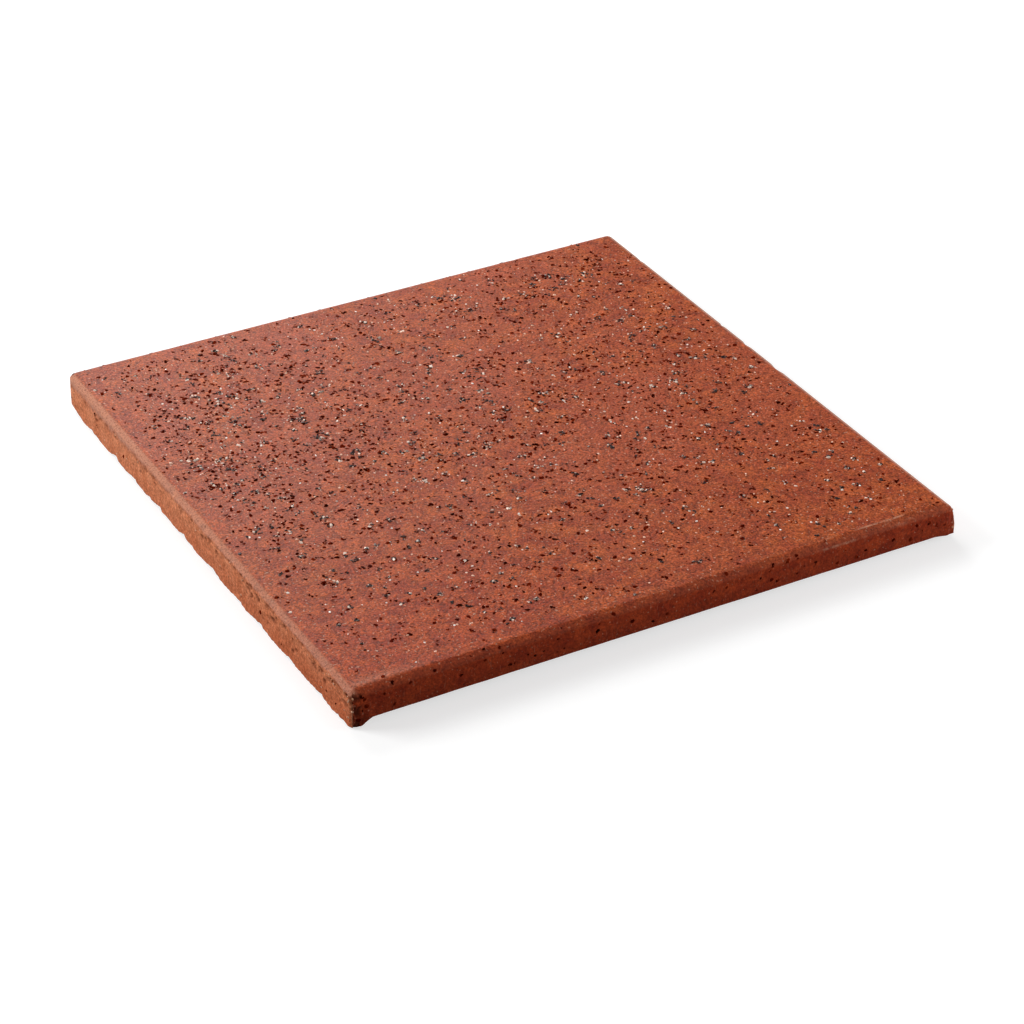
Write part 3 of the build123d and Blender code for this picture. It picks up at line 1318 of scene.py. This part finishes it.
    def make(self, slab: bpy.types.Object, tree: bpy.types.NodeTree, finish: GrainFinish) -> bpy.types.Object:
        """Scatter the grains over the slab.

        Args:
            slab: The finished slab, with its zone masks.
            tree: The geometry tree that every scatter shares.
            finish: What the grains look like.

        Returns:
            The grains as one plain mesh.
        """
        carrier = link_object("grain_carrier", slab.data.copy())
        modifier = carrier.modifiers.new("grain_scatter", "NODES")
        modifier.node_group = tree
        identifiers = {item.name: item.identifier for item in tree.interface.items_tree}
        for label, value in self.inputs(finish.make()).items():
            modifier[identifiers[label]] = value
        bpy.context.view_layer.update()
        evaluated = carrier.evaluated_get(bpy.context.evaluated_depsgraph_get())
        mesh = bpy.data.meshes.new_from_object(evaluated)
        mesh.name = self.name
        mesh.shade_flat()
        bpy.data.objects.remove(carrier)
        return link_object(self.name, mesh)


IRON_SPECKS = GrainScatter("iron_specks", Zone.SPECK, density=0.18, fewest=1, most=3, reach=1.6,
                           smallest=0.22, largest=0.6, size_bias=1.3, flattest=0.2, roundest=0.36, sink=0.45,
                           tilt=8.0, angularity=1.0, seed=101)
ABRASIVE_GRIT = GrainScatter("abrasive_grit", Zone.GRIT, density=0.031, fewest=2, most=10, reach=1.3,
                             smallest=0.18, largest=0.46, size_bias=1.2, flattest=0.45, roundest=0.8,
                             sink=0.35, tilt=40.0, angularity=0.5, seed=202)
# Pale grains whose colour paints the glints of grit.
GLINT_GRAINS = GrainScatter("quartz_grains", Zone.GRIT, density=0.094, fewest=1, most=1, reach=0.0,
                             smallest=0.12, largest=0.38, size_bias=1.9, flattest=0.5, roundest=0.8, sink=0.4,
                             tilt=30.0, angularity=0.4, seed=303)
TORN_CRUMBS = GrainScatter("clay_crumbs", Zone.CRUMB, density=1.6, fewest=1, most=1, reach=0.0,
                           smallest=0.1, largest=0.42, size_bias=2.0, flattest=0.6, roundest=1.0, sink=0.35,
                           tilt=40.0, angularity=0.4, seed=404)


@dataclass(frozen=True)
class SoftBox:
    """A square studio lamp that faces the tile."""

    name: str
    toward: Triple
    distance: float
    size: float
    power: float

    def make(self) -> None:
        """Hang the lamp."""
        lamp = bpy.data.lights.new(self.name, "AREA")
        lamp.shape = "SQUARE"
        lamp.size = self.size
        lamp.energy = self.power
        holder = link_object(self.name, lamp)
        away = Vector(self.toward).normalized()
        holder.location = away * self.distance
        holder.rotation_euler = away.to_track_quat("Z", "Y").to_euler()
        holder.visible_camera = False


@dataclass
class Studio:
    """The camera that took the picture, soft lamps, and a white floor that keeps the tile's shadow."""

    aim: Triple = (-12.9, -30.96, 9.525)
    azimuth: float = -29.395
    elevation: float = 32.33
    roll: float = 0.32
    distance: float = 715.0
    lens: float = 111.87
    sensor: float = 36.0
    sky: float = 0.22
    horizon: float = 0.78
    horizon_ends: float = 0.08
    sky_starts: float = 0.2
    floor_half: float = 8.0
    floor_drop: float = 0.03
    floor_bounce: float = 0.16
    floor_pale: float = 0.5
    floor_glow: float = 0.62
    lamps: list[SoftBox] = field(default_factory=lambda: [
        SoftBox("key_softbox", (-0.72, 0.47, 0.51), distance=1.0, size=0.5, power=8.1),
        SoftBox("back_softbox", (0.1, 0.84, 0.53), distance=0.7, size=0.42, power=3.1),
        SoftBox("front_fill", (0.8, -0.55, 0.14), distance=0.45, size=0.25, power=1.35),
    ])

    def make_camera(self) -> None:
        """Stand the camera where the picture was taken."""
        turn, tilt = math.radians(self.azimuth), math.radians(self.elevation)
        back = Vector((math.sin(turn) * math.cos(tilt), -math.cos(turn) * math.cos(tilt), math.sin(tilt)))
        lens = bpy.data.cameras.new("camera")
        lens.lens = self.lens
        lens.sensor_width = self.sensor
        camera = link_object("camera", lens)
        facing = back.to_track_quat("Z", "Y").to_matrix() @ Matrix.Rotation(math.radians(self.roll), 3, "Z")
        place = Vector(self.aim) * MM + back * self.distance * MM
        camera.matrix_world = Matrix.Translation(place) @ facing.to_4x4()
        bpy.context.scene.camera = camera

    def make_world(self) -> None:
        """Fill the room with soft light: white round the horizon, and dimmer overhead."""
        world = bpy.data.worlds.new("studio")
        node = partial(add_node, empty_tree(world))
        direction = node("ShaderNodeTexCoord", output="Generated")
        strength = node("ShaderNodeMapRange", {
            "Value": node("ShaderNodeSeparateXYZ", {0: direction}, "Z"),
            "From Min": self.horizon_ends,
            "From Max": self.sky_starts,
            "To Min": self.horizon,
            "To Max": self.sky,
        }, "Result", interpolation_type="SMOOTHSTEP")
        sky = node("ShaderNodeBackground", {"Color": linear(WHITE), "Strength": strength}, 0)
        node("ShaderNodeOutputWorld", {"Surface": sky})
        bpy.context.scene.world = world

    def make_floor(self) -> None:
        """Lay a white floor that keeps a pale shadow and throws back only some of the light."""
        reach, level = self.floor_half, -self.floor_drop * MM
        plan = ((-reach, -reach), (reach, -reach), (reach, reach), (-reach, reach))
        mesh = bpy.data.meshes.new("floor")
        mesh.from_pydata([(*corner, level) for corner in plan], [], [(0, 1, 2, 3)])
        floor = link_object("floor", mesh)
        material = bpy.data.materials.new("white_floor")
        node = partial(add_node, empty_tree(material))
        path = node("ShaderNodeLightPath").outputs
        seen = path["Is Camera Ray"]
        for kind in ("Is Glossy Ray", "Is Transmission Ray"):
            seen = node("ShaderNodeMath", {0: seen, 1: path[kind]}, 0, operation="MAXIMUM")
        bounce = node("ShaderNodeBsdfDiffuse", {"Color": (*[self.floor_bounce] * 3, 1.0)}, 0)
        pale = node("ShaderNodeBsdfDiffuse", {"Color": (*[self.floor_pale] * 3, 1.0)}, 0)
        glow = node("ShaderNodeEmission", {"Color": linear(WHITE), "Strength": self.floor_glow}, 0)
        shown = node("ShaderNodeAddShader", {0: pale, 1: glow}, 0)
        both = node("ShaderNodeMixShader", {0: seen, 1: bounce, 2: shown}, 0)
        node("ShaderNodeOutputMaterial", {"Surface": both})
        mesh.materials.append(material)

    def make(self) -> None:
        """Set up the whole studio."""
        self.make_camera()
        self.make_world()
        self.make_floor()
        for lamp in self.lamps:
            lamp.make()
        bpy.context.scene.view_settings.view_transform = "Standard"


def attach(piece: bpy.types.Object) -> None:
    """Put a piece on the tile's body, and log how many triangles it has.

    Args:
        piece: A finished piece, with its material.
    """
    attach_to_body(piece, BODY)
    piece.data.calc_loop_triangles()
    log.info("%s: %d triangles", piece.name, len(piece.data.loop_triangles))


def main() -> None:
    """Build the tile, its grains and the studio, and note the size of what shows."""
    logging.basicConfig(level=logging.INFO, format="%(name)s %(message)s")
    Studio().make()

    low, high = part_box(CAD_NODE)
    slab = TileBody(TileForm(low, high)).make()
    slab.data.materials.append(FiredClay().make())
    attach(slab)
    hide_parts(CAD_NODE)

    tree = GrainScatter.tree()
    scatters = {
        IRON_SPECKS: BURNT_IRONSTONE,
        ABRASIVE_GRIT: BLACK_CARBIDE,
        GLINT_GRAINS: PALE_GLINT_FINISH,
        TORN_CRUMBS: CLAY_CRUMBS,
    }
    for scatter, finish in scatters.items():
        attach(scatter.make(slab, tree, finish))


if __name__ == "__main__":
    main()
